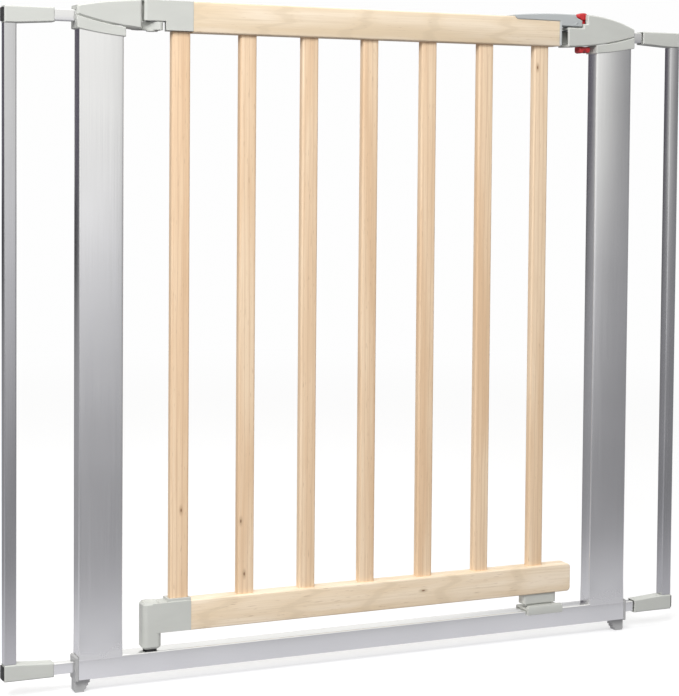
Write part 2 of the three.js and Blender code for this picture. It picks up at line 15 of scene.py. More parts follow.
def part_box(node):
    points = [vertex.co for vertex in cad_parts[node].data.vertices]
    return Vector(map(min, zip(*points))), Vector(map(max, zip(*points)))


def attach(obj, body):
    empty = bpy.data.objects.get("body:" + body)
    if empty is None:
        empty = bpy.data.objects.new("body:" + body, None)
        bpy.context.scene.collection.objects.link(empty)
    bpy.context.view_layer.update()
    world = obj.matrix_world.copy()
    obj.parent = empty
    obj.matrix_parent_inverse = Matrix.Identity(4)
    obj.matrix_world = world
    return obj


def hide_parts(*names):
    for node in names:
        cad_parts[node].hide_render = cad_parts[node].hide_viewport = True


MM = 0.001
CAMERA_PLACE = (-0.9260, -1.9771, 0.6018)
CAMERA_HEADING = 24.277          # degrees from +Y towards +X
CAMERA_DIP = 2.586               # degrees below level
CAMERA_ROLL = 0.468
CAMERA_LENS = 94.998
CAMERA_SHIFT = -0.1552

BACKDROP = 0.99                  # how bright the white behind the gate is
ROOM = (1.1, 1.095, 1.065)       # how bright the room is mirrored
ROOM_LIGHT = 0.52                # the share of it that lights matt surfaces
# Darker sides of the room: direction, cosines at which the shade starts and is full, its colour.
ROOM_SHADES = (
    ((0.87, -0.50, 0.0), 0.78, 0.955, (0.30, 0.30, 0.31)),
    ((-0.371, 0.918, 0.14), 0.90, 0.975, (0.11, 0.10, 0.13)),
    ((0.626, 0.746, 0.225), 0.972, 0.992, (0.45, 0.45, 0.48)),
)
# Soft lights: name, place, what it faces, width and height, watts.
SOFTBOXES = (
    ("key", (-1.1, -1.5, 1.9), (-0.1, 0, 0.5), (1.2, 1.0), 45),
    ("overhead", (-0.1, 0.25, 2.8), (-0.1, 0, 0), (2.6, 1.6), 17),
)

FLOOR_SIZE = 60
FLOOR_TONES = ((0.68, 0.68, 0.69), (0.71, 0.71, 0.72))
FLOOR_LIFT = 0.40                # what the near floor is brightened by, to meet the backdrop
FLOOR_FADE = (0.9, 3.5)          # how far out it turns into the backdrop
FLOOR_TINT = (0.985, 0.98, 1.03)
FLOOR_LIGHT = 0.45               # the share of the mirrored floor that lights matt surfaces
# The mirrored floor is graded: where each part of its brightness starts and is full, then how much.
FLOOR_RIGHTWARDS = (1, 0.45, 0)
FLOOR_NEAR = (0, 0.7, 0.82, 0.37)            # by the distance in front of or behind the gate
FLOOR_NEAR_SIDE = (-0.6, 0.8, 1, 0.82)       # the share of that, from left to right
FLOOR_FRONT = (-1, -8, 0, 0.57)
FLOOR_FRONT_SIDE = (-0.6, 0.8, 1, 0.15)
FLOOR_BACK = (1.5, 9, 0, -0.26)
FLOOR_BACK_SIDE = (-1, 0.5, 0.2, 1)

GREY = (0.60, 0.61, 0.575)
HANDLE_GREY = (0.50, 0.525, 0.53)
# The feet and end caps are a darker grey: painted shade, for the shade they sit in down by the floor.
FOOT_GREY_PAINTED_SHADE = (0.48, 0.48, 0.48)
RED = (0.58, 0.03, 0.035)
RED_GLOSS = 0.14
ALUMINIUM = (0.80, 0.80, 0.80)
WALL_ALUMINIUM = (0.58, 0.58, 0.59)
PORE = (0.42, 0.25, 0.13)
KNOT_CORE = (0.2, 0.09, 0.04)
# How warm the tone of each slat is, from left to right. The rails are cooler and paler; the top rail's
# paleness is partly wood tone and partly painted light, for the key lamp close above it.
SLAT_WARMTH = (0.7, 0.1, 0.0, 0.1, 0.2, 0.3, 0.0)
TOP_RAIL_WARMTH_AND_PAINTED_LIGHT = -2.2
BOTTOM_RAIL_WARMTH = -2
# The bottom rail's wood is lightened all over: painted light, for the light that the lamps give its front
# too weakly.
BOTTOM_RAIL_PAINTED_LIGHT = 1.05
# Pin knots in the front faces: how far across and up each piece's box they are.
KNOTS = {
    "slat_1": [(0.58, 0.17)],
    "slat_2": [(0.39, 0.05), (0.17, 0.143)],
    "slat_7": [(0.22, 0.945)],
    "bottom_rail": [(0.6, 0.54)],
}

# Edge roundings.
EDGE = 0.3 * MM
RED_EDGE = 0.9 * MM
POST_CORNER = 1.3 * MM
THRESHOLD_CORNER = 1.4 * MM
WALL_TUBE_CORNER = 1.5 * MM
ARM_CORNER = 1 * MM
SLAT_CORNER = 2.4 * MM
RAIL_EDGE = 2 * MM
TOP_RAIL_END = 0.6 * MM
BOTTOM_RAIL_END = 5 * MM

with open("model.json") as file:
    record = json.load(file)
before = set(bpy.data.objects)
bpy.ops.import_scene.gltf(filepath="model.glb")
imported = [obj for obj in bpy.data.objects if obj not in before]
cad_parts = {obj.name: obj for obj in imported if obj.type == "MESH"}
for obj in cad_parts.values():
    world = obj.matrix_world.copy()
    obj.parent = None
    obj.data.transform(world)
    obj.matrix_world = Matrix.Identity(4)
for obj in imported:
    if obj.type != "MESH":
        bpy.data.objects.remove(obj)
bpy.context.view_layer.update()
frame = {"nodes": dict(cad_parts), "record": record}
record = frame["record"]
BODY = {node: body for body, nodes in record["behaviour"]["bodies"].items() for node in nodes}
SLOT = {row["node"]: row["material_slot"] for row in record["subparts"]}


# ---------------------------------------------------------------- mesh helpers
def new_piece(name, mesh):
    data = bpy.data.meshes.new(name)
    mesh.to_mesh(data)
    mesh.free()
    piece = bpy.data.objects.new(name, data)
    bpy.context.scene.collection.objects.link(piece)
    return piece


def apply_modifiers(piece):
    bpy.context.view_layer.update()
    evaluated = piece.evaluated_get(bpy.context.evaluated_depsgraph_get())
    old = piece.data
    piece.data = bpy.data.meshes.new_from_object(evaluated)
    piece.modifiers.clear()
    bpy.data.meshes.remove(old)


def shade(piece, sharp_angle=32):
    piece.data.polygons.foreach_set("use_smooth", [True] * len(piece.data.polygons))
    piece.data.set_sharp_from_angle(angle=math.radians(sharp_angle))


def copy_of(node):
    """The CAD node's surface as a new piece, its flat faces merged back into whole polygons."""
    mesh = bmesh.new()
    mesh.from_mesh(frame["nodes"][node].data)
    for layer in list(mesh.loops.layers.float_vector.values()):
        mesh.loops.layers.float_vector.remove(layer)
    bmesh.ops.remove_doubles(mesh, verts=mesh.verts, dist=0.01 * MM)
    bmesh.ops.dissolve_limit(mesh, angle_limit=math.radians(0.5), verts=mesh.verts, edges=mesh.edges)
    piece = new_piece(node + "_part", mesh)
    for name in ("custom_normal", "sharp_edge", "sharp_face"):
        if name in piece.data.attributes:
            piece.data.attributes.remove(piece.data.attributes[name])
    return piece


def soften(piece, width, segments=2, angle=30):
    """Rounds every edge sharper than the angle, and keeps the shading of the faces between them flat."""
    modifier = piece.modifiers.new("edges", "BEVEL")
    modifier.width = width
    modifier.segments = segments
    modifier.limit_method = "ANGLE"
    modifier.angle_limit = math.radians(angle)
    modifier.use_clamp_overlap = False
    apply_modifiers(piece)
    shade(piece, 48)
    flat = piece.modifiers.new("flat", "WEIGHTED_NORMAL")
    flat.keep_sharp = True
    apply_modifiers(piece)


def combine(piece, operation, tools):
    """Cuts the tools out of the piece, or joins them to it."""
    for tool in tools:
        modifier = piece.modifiers.new("tool", "BOOLEAN")
        modifier.operation = operation
        modifier.solver = "EXACT"
        modifier.object = tool
    apply_modifiers(piece)
    for tool in tools:
        bpy.data.objects.remove(tool)


def arc(centre, radius, start, end, steps):
    angles = [math.radians(start + (end - start) * i / steps) for i in range(steps + 1)]
    return [(centre[0] + radius * math.cos(a), centre[1] + radius * math.sin(a)) for a in angles]


def loft(name, sections):
    """A closed skin through sections that all have the same number of points."""
    mesh = bmesh.new()
    rings = [[mesh.verts.new(point) for point in section] for section in sections]
    mesh.faces.new(rings[0])
    mesh.faces.new(rings[-1])
    for lower, upper in zip(rings, rings[1:]):
        for i in range(len(lower)):
            j = (i + 1) % len(lower)
            mesh.faces.new((lower[i], lower[j], upper[j], upper[i]))
    bmesh.ops.recalc_face_normals(mesh, faces=mesh.faces)
    return new_piece(name, mesh)


def prism(name, outline, low, high, axis):
    """An outline pulled along an axis. It is given as (x, y) for Z, (x, z) for Y and (y, z) for X."""
    put = {
        "z": lambda u, v, w: (u, v, w),
        "y": lambda u, v, w: (u, w, v),
        "x": lambda u, v, w: (w, u, v),
    }[axis]
    return loft(name, [[put(u, v, w) for u, v in outline] for w in (low, high)])


def bowl(centre, radii):
    """A squashed ball, as a cutting tool."""
    mesh = bmesh.new()
    bmesh.ops.create_uvsphere(mesh, u_segments=48, v_segments=24, radius=1)
    bmesh.ops.scale(mesh, vec=radii, verts=mesh.verts)
    bmesh.ops.translate(mesh, vec=centre, verts=mesh.verts)
    return new_piece("tool", mesh)


def round_edges(piece, radius, wanted, segments=4):
    """Rounds only the edges for which wanted(middle, direction) holds."""
    mesh = bmesh.new()
    mesh.from_mesh(piece.data)
    chosen = []
    for edge in mesh.edges:
        a, b = (v.co for v in edge.verts)
        if edge.calc_face_angle(0) > math.radians(35) and wanted((a + b) / 2, (b - a).normalized()):
            chosen.append(edge)
    bmesh.ops.bevel(mesh, geom=chosen, offset=radius, segments=segments, profile=0.5, affect="EDGES")
    mesh.to_mesh(piece.data)
    mesh.free()


def rounded_outline(low, high, radius, steps=5):
    """A rounded rectangle between two corners."""
    (x0, y0), (x1, y1) = low, high
    points = arc((x1 - radius, y0 + radius), radius, -90, 0, steps)
    points += arc((x1 - radius, y1 - radius), radius, 0, 90, steps)
    points += arc((x0 + radius, y1 - radius), radius, 90, 180, steps)
    points += arc((x0 + radius, y0 + radius), radius, 180, 270, steps)
    return points


def place(piece, material, *nodes):
    """Gives a finished piece its material, hides the nodes it stands for, and makes it move with their
    body.
    """
    piece.data.materials.clear()
    piece.data.materials.append(material)
    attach(piece, BODY[nodes[0]])
    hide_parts(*nodes)


# ---------------------------------------------------------------- materials
# The colour sockets of a Mix node: two inputs and the result.
MIX_ONE, MIX_OTHER, MIX_RESULT = 6, 7, 2


class Shader:
    """A Principled material with short names for the few nodes that these finishes use."""

    def __init__(self, name):
        self.material = bpy.data.materials.new(name)
        self.material.use_nodes = True
        self.tree = self.material.node_tree
        self.base = self.tree.nodes["Principled BSDF"]
        coordinates = self.tree.nodes.new("ShaderNodeTexCoord")
        self.position = coordinates.outputs["Object"]

    def set(self, **values):
        for name, value in values.items():
            self.base.inputs[name.replace("_", " ").title().replace("Ior", "IOR")].default_value = value

    def link(self, output, target):
        self.tree.links.new(output, target)

    def stretched(self, scale, offset=(0, 0, 0)):
        mapping = self.tree.nodes.new("ShaderNodeMapping")
        mapping.inputs["Scale"].default_value = scale
        mapping.inputs["Location"].default_value = offset
        self.link(self.position, mapping.inputs["Vector"])
        return mapping.outputs["Vector"]

    def noise(self, vector, scale, detail=4, distortion=0.0, roughness=0.5):
        node = self.tree.nodes.new("ShaderNodeTexNoise")
        node.inputs["Scale"].default_value = scale
        node.inputs["Detail"].default_value = detail
        node.inputs["Distortion"].default_value = distortion
        node.inputs["Roughness"].default_value = roughness
        self.link(vector, node.inputs["Vector"])
        return node.outputs["Fac"]

    def bands(self, vector, scale, distortion):
        node = self.tree.nodes.new("ShaderNodeTexWave")
        node.inputs["Scale"].default_value = scale
        node.inputs["Distortion"].default_value = distortion
        node.inputs["Detail"].default_value = 2.5
        node.inputs["Detail Scale"].default_value = 0.8
        self.link(vector, node.inputs["Vector"])
        return node.outputs["Fac"]

    def ramp(self, value, low, high, to_low=0.0, to_high=1.0):
        node = self.tree.nodes.new("ShaderNodeMapRange")
        node.interpolation_type = "SMOOTHSTEP"
        node.inputs["From Min"].default_value = low
        node.inputs["From Max"].default_value = high
        node.inputs["To Min"].default_value = to_low
        node.inputs["To Max"].default_value = to_high
        self.link(value, node.inputs["Value"])
        return node.outputs["Result"]

    def mix(self, factor, one, other):
        node = self.tree.nodes.new("ShaderNodeMix")
        node.data_type = "RGBA"
        self.link(factor, node.inputs["Factor"])
        for socket, value in ((node.inputs[MIX_ONE], one), (node.inputs[MIX_OTHER], other)):
            if isinstance(value, tuple):
                socket.default_value = (*value, 1)
            else:
                self.link(value, socket)
        return node.outputs[MIX_RESULT]

    def distance(self, point, position=None):
        node = self.tree.nodes.new("ShaderNodeVectorMath")
        node.operation = "DISTANCE"
        node.inputs[1].default_value = point
        self.link(position or self.position, node.inputs[0])
        return node.outputs["Value"]

    def knot(self, point, radius, axis):
        """1 at the point, fading to 0 at the radius, drawn out along the grain."""
        stretch = along(axis, 0.4, 1)
        reach = self.distance([p * s for p, s in zip(point, stretch)], self.stretched(stretch))
        return self.ramp(reach, radius * 0.25, radius, 1, 0)

    def axes(self):
        node = self.tree.nodes.new("ShaderNodeSeparateXYZ")
        self.link(self.position, node.inputs[0])
        return node.outputs

    def math(self, operation, one, other=None):
        node = self.tree.nodes.new("ShaderNodeMath")
        node.operation = operation
        self.link(one, node.inputs[0])
        if other is not None:
            self.link(other, node.inputs[1])
        return node.outputs[0]

    def lean(self, direction):
        """How far the position lies along a direction."""
        node = self.tree.nodes.new("ShaderNodeVectorMath")
        node.operation = "DOT_PRODUCT"
        node.inputs[1].default_value = direction
        self.link(self.position, node.inputs[0])
        return node.outputs["Value"]

    def glow(self, strength, colour=(1, 1, 1)):
        node = self.tree.nodes.new("ShaderNodeEmission")
        node.inputs["Color"].default_value = (*colour, 1)
        node.inputs["Strength"].default_value = strength
        return node.outputs[0]

    def blend(self, factor, one, other):
        node = self.tree.nodes.new("ShaderNodeMixShader")
        self.link(factor, node.inputs[0])
        self.link(one, node.inputs[1])
        self.link(other, node.inputs[2])
        return node.outputs[0]

    def bump(self, height, strength, distance):
        node = self.tree.nodes.new("ShaderNodeBump")
        node.inputs["Strength"].default_value = strength
        node.inputs["Distance"].default_value = distance
        self.link(height, node.inputs["Height"])
        self.link(node.outputs["Normal"], self.base.inputs["Normal"])

    def colour(self, output):
        self.link(output, self.base.inputs["Base Color"])

    def roughness(self, output):
        self.link(output, self.base.inputs["Roughness"])


def along(axis, length, across):
    """Texture scale that is low along the axis and high across it."""
    return tuple(length if name == axis else across for name in "xyz")


def satin_metal(name, axis, weld_z=None, tone=ALUMINIUM):
    """Anodised aluminium, finely brushed along its length, and rubbed matt above a dressed weld."""
    shader = Shader(name)
    shader.set(metallic=1.0)
    brushing = shader.noise(shader.stretched(along(axis, 1.2, 260)), 6, detail=5)
    cloud = shader.noise(shader.position, 7, detail=2)
    colour = shader.mix(shader.ramp(cloud, 0.3, 0.7), tuple(c * 0.93 for c in tone), tone)
    polish = shader.ramp(brushing, 0.25, 0.75, 0.17, 0.25)
    if weld_z is not None:
        full, none = weld_z + 3 * MM, weld_z + 24 * MM
        rubbed = shader.noise(shader.stretched((35, 35, 90)), 1, detail=3, distortion=0.6)
        near = shader.ramp(shader.axes()[2], full, none, 1, 0)
        share = shader.math("MULTIPLY", near, shader.ramp(rubbed, 0.3, 0.7))
        polish = shader.math("ADD", polish, shader.ramp(share, 0, 1, 0, 0.16))
        colour = shader.mix(share, colour, tuple(c * 0.93 for c in tone))
    shader.colour(colour)
    shader.roughness(polish)
    shader.bump(brushing, 0.05, 0.2 * MM)
    return shader.material


def moulded_plastic(name, tone, gloss=0.42):
    """Fine-textured moulding with faint flow variation."""
    shader = Shader(name)
    flow = shader.noise(shader.stretched((1, 1, 3)), 22, detail=3, distortion=0.4)
    lighter = tuple(min(1, c * 1.02) for c in tone)
    darker = tuple(c * 0.98 for c in tone)
    shader.colour(shader.mix(shader.ramp(flow, 0.3, 0.7), darker, lighter))
    grain = shader.noise(shader.position, 1400, detail=2)
    shader.roughness(shader.ramp(grain, 0.3, 0.7, gloss, gloss + 0.12))
    shader.bump(grain, 0.12, 0.1 * MM)
    return shader.material


def pale_wood(name, axis, seed, warmth, knots=(), painted_light_gain=1.0):
    """Clear-lacquered pale hardwood: broad figure, fine fibres, short dark pores and a few pin knots."""
    shader = Shader(name)
    offset = (seed * 1.37, seed * 0.71, seed * 2.13)
    # The gain lightens both wood tones: painted light, making a piece brighter than its own colour.
    light = tuple(painted_light_gain * c for c in (0.95, 0.75 - 0.03 * warmth, 0.54 - 0.05 * warmth))
    deep = tuple(painted_light_gain * c for c in (0.82, 0.58 - 0.035 * warmth, 0.37 - 0.04 * warmth))
    figure = shader.bands(shader.stretched(along(axis, 0.35, 6), offset), 9, 5)
    broad = shader.noise(shader.stretched(along(axis, 2.2, 30), offset), 1.6, detail=4, distortion=0.5)
    streaks = shader.noise(shader.stretched(along(axis, 5, 260), offset), 1.4, detail=3, distortion=0.3)
    fibres = shader.noise(shader.stretched(along(axis, 14, 620), offset), 1.5, detail=4)
    pores = shader.noise(shader.stretched(along(axis, 60, 900), offset), 1.2, detail=1)
    colour = shader.mix(shader.ramp(broad, 0.32, 0.72), light, deep)
    colour = shader.mix(shader.ramp(figure, 0.5, 1.0, 0, 0.3), colour, deep)
    colour = shader.mix(shader.ramp(figure, 0.9, 1.0, 0, 0.3), colour, tuple(c * 0.8 for c in deep))
    colour = shader.mix(shader.ramp(streaks, 0.5, 0.72, 0, 0.55), colour, tuple(c * 0.93 for c in deep))
    colour = shader.mix(shader.ramp(fibres, 0.45, 0.8, 0, 0.4), colour, tuple(c * 0.86 for c in deep))
    colour = shader.mix(shader.ramp(pores, 0.66, 0.78, 0, 0.4), colour, PORE)
    for point in knots:
        colour = shader.mix(shader.knot(point, 3.5 * MM, axis), colour, tuple(c * 0.8 for c in deep))
        colour = shader.mix(shader.knot(point, 1.2 * MM, axis), colour, KNOT_CORE)
    shader.colour(colour)
    shader.roughness(shader.ramp(fibres, 0.3, 0.7, 0.42, 0.58))
    shader.bump(fibres, 0.15, 0.15 * MM)
    return shader.material


def bright_steel(name):
    shader = Shader(name)
    shader.set(metallic=1.0)
    marks = shader.noise(shader.stretched((300, 300, 40)), 5, detail=3)
    shader.colour(shader.mix(marks, (0.42, 0.42, 0.44), (0.6, 0.6, 0.62)))
    shader.roughness(shader.ramp(marks, 0.3, 0.7, 0.22, 0.4))
    shader.bump(marks, 0.05, 0.05 * MM)
    return shader.material


def soft_rubber(name):
    shader = Shader(name)
    grain = shader.noise(shader.position, 900, detail=3)
    shader.colour(shader.mix(grain, (0.014, 0.014, 0.015), (0.03, 0.03, 0.032)))
    shader.roughness(shader.ramp(grain, 0.3, 0.7, 0.7, 0.9))
    shader.bump(grain, 0.3, 0.2 * MM)
    return shader.material


# ---------------------------------------------------------------- metal pieces
POST_CROWN = 0.9 * MM
# The foot is this much deeper than the threshold, so that their faces don't share a plane.
FOOT_PROUD = 1.002
# Heights above the threshold, and how much of the crown a post has there.
POST_CROWNING = ((-2.2 * MM, 0), (2 * MM, 0), (9 * MM, 0.12), (18 * MM, 0.5), (27 * MM, 0.88), (36 * MM, 1))


def post_outline(low, high, crown):
    """A box section whose front and back bulge by the crown."""
    corner = POST_CORNER
    half = (high.x - low.x) / 2
    middle = (high.x + low.x) / 2
    steps = 24
    front = []
    for i in range(steps + 1):
        u = -1 + 2 * i / steps
        front.append((middle + u * (half - corner), low.y + crown * u * u))
    right = arc((high.x - corner, low.y + crown + corner), corner, -90, 0, 5)[1:]
    left = arc((low.x + corner, low.y + crown + corner), corner, 180, 270, 5)[:-1]
    outline = front + right
    outline += [(x, low.y + high.y - y) for x, y in reversed(outline)]
    return outline + [(x, low.y + high.y - y) for x, y in reversed(left)] + left


def post(node, material):
    """The crowned section flattens towards the foot, where it is welded flush to the threshold."""
    low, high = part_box(node)
    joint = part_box("threshold")[1].z
    sections = []
    for height, share in POST_CROWNING:
        outline = post_outline(low, high, POST_CROWN * share)
        sections.append([(x, y, joint + height) for x, y in outline])
    sections.append([(x, y, high.z) for x, y in post_outline(low, high, POST_CROWN)])
    for i in (0, 1):
        sections[i] = [(x, y * FOOT_PROUD, z) for x, y, z in sections[i]]
    piece = loft(node + "_part", sections)
    shade(piece)
    place(piece, material, node)


def square_tube(node, axis, radius, material):
    low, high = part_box(node)
    index = "xyz".index(axis)
    flat = [(v.x, v.y) if axis == "z" else (v.y, v.z) for v in (low, high)]
    piece = prism(node + "_part", rounded_outline(*flat, radius), low[index], high[index], axis)
    shade(piece)
    place(piece, material, node)


# ---------------------------------------------------------------- wooden pieces
def knots(node):
    """The places of the pin knots in the piece's front face."""
    low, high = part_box(node)
    size = high - low
    return [(low.x + u * size.x, low.y, low.z + w * size.z) for u, w in KNOTS.get(node, [])]


def slat(node, material):
    """A rounded bar that reaches into both rails only just, so that no end of it shows."""
    low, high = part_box(node)
    reach = 1 * MM
    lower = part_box("bottom_rail")[1].z - reach
    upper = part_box("top_rail")[0].z + reach
    outline = rounded_outline((low.x, low.y), (high.x, high.y), SLAT_CORNER)
    piece = prism(node + "_part", outline, lower, upper, "z")
    shade(piece)
    place(piece, material, node)


def rail(node, material, end_radius, soft_end):
    """A bar with rounded edges, which starts where the corner mouldings end."""
    low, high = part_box(node)
    clearance = 0.15 * MM
    low.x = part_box("top_hinge_corner")[1].x + clearance
    end = arc((high.x - end_radius, low.z + end_radius), end_radius, -90, 0, 6)
    end += arc((high.x - end_radius, high.z - end_radius), end_radius, 0, 90, 6)
    piece = prism(node + "_part", [(low.x, low.z), *end, (low.x, high.z)], low.y, high.y, "y")
    left = low.x + 1 * MM
    if soft_end:
        round_edges(piece, RAIL_EDGE, lambda middle, way: middle.x > left and abs(way.y) < 0.5)
    else:
        round_edges(piece, RAIL_EDGE, lambda middle, way: abs(way.x) > 0.5)
    shade(piece)
    place(piece, material, node)


# ---------------------------------------------------------------- mouldings and small parts
def hinge_column(piece):
    """A shallow dish in the top of the column."""
    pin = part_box("bottom_hinge_pin")
    middle = (pin[0] + pin[1]) / 2
    off_axis = 0.5 * MM
    above = 0.9 * MM
    radii = (9.4 * MM, 8.4 * MM, 2.6 * MM)
    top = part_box("bottom_rail")[1].z + above
    combine(piece, "DIFFERENCE", [bowl((middle.x - off_axis, middle.y, top), radii)])


def latch_end(piece):
    """The bracket is a shell: its end beside the door is open, with a hollow behind it."""
    low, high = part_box("right_bracket_cover")
    side, edge = 2.2 * MM, 2.6 * MM
    corner = 2 * MM
    depth = 16 * MM
    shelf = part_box("latch_handle")[0].z + 23 * MM
    outline = rounded_outline((low.y + side, low.z + edge), (high.y - side, shelf - edge), corner)
    combine(piece, "DIFFERENCE", [prism("tool", outline, low.x - 1 * MM, low.x + depth, "x")])


def hinge_gap(piece):
    """The knuckle is a shell too: behind its front edge it is hollow towards the bracket."""
    low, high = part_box("top_hinge_corner")
    front_wall, back_wall, roof = 1 * MM, 3 * MM, 0.9 * MM
    edge_depth, edge_width = 0.9 * MM, 2.5 * MM
    hollow_depth = 5 * MM
    outside = low.x - 1 * MM
    front, back = low.y + front_wall, high.y - back_wall
    edge, hollow = low.x + edge_depth, low.x + hollow_depth
    outline = [(outside, front), (edge, front), (edge, front + edge_width)]
    outline += [(hollow, front + edge_width), (hollow, back), (outside, back)]
    combine(piece, "DIFFERENCE", [prism("tool", outline, low.z - 1 * MM, high.z - roof, "z")])


def catch_stem(piece):
    """The catch's stem stands back under its head."""
    low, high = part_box("thumb_catch")
    set_back = 2.6 * MM
    # What is cut away, measured from the catch's left side and from its top.
    x = (low.x + 5 * MM, low.x + 13 * MM)
    z = (high.z - 26 * MM, high.z - 8.9 * MM)
    outline = [(x[0], z[0]), (x[1], z[0]), (x[1], z[1]), (x[0], z[1])]
    combine(piece, "DIFFERENCE", [prism("tool", outline, low.y - 1 * MM, low.y + set_back, "y")])


def handle_mark(piece):
    """A small raised arrow head on the front of the handle's nose."""
    low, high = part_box("latch_handle")
    x = high.x - 10.5 * MM
    z = high.z - 12.6 * MM
    shape = ((0, 0), (1.5, 0), (5.2, 3.6), (1.5, 7.2), (0, 7.2), (3.5, 3.6))
    relief, root = 0.35 * MM, 0.6 * MM
    outline = [(x + u * MM, z + w * MM) for u, w in shape]
    combine(piece, "UNION", [prism("tool", outline, low.y - relief, low.y + root, "y")])


def sleeve_mouth(piece, node):
    """A thin-walled mouth around the arm that slides in it."""
    low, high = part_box(node)
    arm_low, arm_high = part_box(node.replace("corner", "arm"))
    out = -1 if "left" in node else 1
    mouth = low.x if out > 0 else high.x
    x = sorted((mouth - out * 2 * MM, mouth + out * 7 * MM))
    lip = 0.75 * MM
    half_width = 6.9 * MM
    inner = [(-half_width, arm_low.z - lip), (half_width, arm_high.z + lip)]
    outline = rounded_outline(*inner, 1 * MM, 3)
    combine(piece, "DIFFERENCE", [prism("tool", outline, *x, "x")])


def saddle_lip(piece):
    """The front lip stops short of the catch block above it, and its upper corners are rounded off."""
    low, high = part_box("saddle_clip")
    top = high.z - 1.3 * MM
    behind_lip = -8 * MM
    radius = 4 * MM
    reach = 1 * MM
    kept = arc((low.x + radius, top - radius), radius, 180, 90, 10)
    kept += arc((high.x - radius, top - radius), radius, 90, 0, 10)
    outline = [(low.x - reach, top - radius), *kept, (high.x + reach, top - radius)]
    outline += [(high.x + reach, high.z + reach), (low.x - reach, high.z + reach)]
    combine(piece, "DIFFERENCE", [prism("tool", outline, low.y - reach, behind_lip, "y")])


# Screws whose axis isn't Y.
HEAD_AXIS = {"handle_screw": "x", "block_screw_1": "z", "block_screw_2": "z"}


def cross_recess(piece, node):
    """A cross recess in a screw's head."""
    low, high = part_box(node)
    middle = (low + high) / 2
    arm, half, depth = 1.7 * MM, 0.4 * MM, 0.8 * MM
    cross = [(-half, -arm), (half, -arm), (half, -half), (arm, -half), (arm, half), (half, half)]
    cross += [(-u, -w) for u, w in cross]
    head = HEAD_AXIS.get(node, "y")
    index = "xyz".index(head)
    across = [i for i in range(3) if i != index]
    outline = [(middle[across[0]] + u, middle[across[1]] + w) for u, w in cross]
    face = low[index] if head == "z" else high[index]
    combine(piece, "DIFFERENCE", [prism("tool", outline, face - depth, face + depth, head)])


DETAILS = {
    "bottom_hinge_corner": hinge_column,
    "top_hinge_corner": hinge_gap,
    "right_bracket_cover": latch_end,
    "thumb_catch": catch_stem,
    "latch_handle": handle_mark,
    "saddle_clip": saddle_lip,
}


def small_part(node, finish):
    """The CAD's own shape, with the details that only the looks have, and soft edges."""
    piece = copy_of(node)
    if node in DETAILS:
        DETAILS[node](piece)
    if node.endswith("_corner") and "hinge" not in node:
        sleeve_mouth(piece, node)
    if "_screw" in node:
        cross_recess(piece, node)
    if node == "trigger_spring":
        shade(piece, 60)
    else:
        soften(piece, RED_EDGE if SLOT[node] == "red_plastic" else EDGE)
    place(piece, finish, node)


# ---------------------------------------------------------------- studio
def seen_floor(shader):
    """What the eye sees: a pale floor that runs out into the backdrop."""
    cloud = shader.noise(shader.position, 0.6, detail=2)
    shader.colour(shader.mix(cloud, *FLOOR_TONES))
    shader.set(roughness=0.8)
    lifted = shader.tree.nodes.new("ShaderNodeAddShader")
    shader.link(shader.base.outputs[0], lifted.inputs[0])
    shader.link(shader.glow(FLOOR_LIFT), lifted.inputs[1])
    away = shader.ramp(shader.distance((0, 0, 0)), *FLOOR_FADE)
    return shader.blend(away, lifted.outputs[0], shader.glow(BACKDROP))


def mirrored_floor(shader, path):
    """What the metal mirrors: a studio floor graded from front to back and from left to right."""
    y = shader.axes()[1]
    rightwards = shader.lean(FLOOR_RIGHTWARDS)
    near = shader.ramp(shader.math("ABSOLUTE", y), *FLOOR_NEAR)
    near = shader.math("MULTIPLY", near, shader.ramp(rightwards, *FLOOR_NEAR_SIDE))
    front = shader.ramp(y, *FLOOR_FRONT)
    front = shader.math("MULTIPLY", front, shader.ramp(rightwards, *FLOOR_FRONT_SIDE))
    back = shader.ramp(y, *FLOOR_BACK)
    back = shader.math("MULTIPLY", back, shader.ramp(rightwards, *FLOOR_BACK_SIDE))
    grade = shader.math("ADD", near, shader.math("ADD", front, back))
    share = shader.ramp(path.outputs["Is Diffuse Ray"], 0, 1, 1, FLOOR_LIGHT)
    mirrored = shader.glow(1, FLOOR_TINT)
    shader.link(shader.math("MULTIPLY", grade, share), mirrored.node.inputs["Strength"])
    return mirrored


def floor():
    bpy.ops.mesh.primitive_plane_add(size=FLOOR_SIZE, location=(0, 0, 0))
    ground = bpy.context.object
    ground.name = "floor"
    shader = Shader("pale_floor")
    path = shader.tree.nodes.new("ShaderNodeLightPath")
    mirrored = mirrored_floor(shader, path)
    final = shader.blend(path.outputs["Is Camera Ray"], mirrored, seen_floor(shader))
    shader.link(final, shader.tree.nodes["Material Output"].inputs["Surface"])
    ground.data.materials.append(shader.material)


def softbox(name, place_at, target, size, power):
    light = bpy.data.lights.new(name, "AREA")
    light.shape = "RECTANGLE"
    light.size, light.size_y = size
    light.energy = power
    lamp = bpy.data.objects.new(name, light)
    lamp.location = place_at
    lamp.rotation_euler = (Vector(target) - Vector(place_at)).to_track_quat("-Z", "Y").to_euler()
    bpy.context.scene.collection.objects.link(lamp)


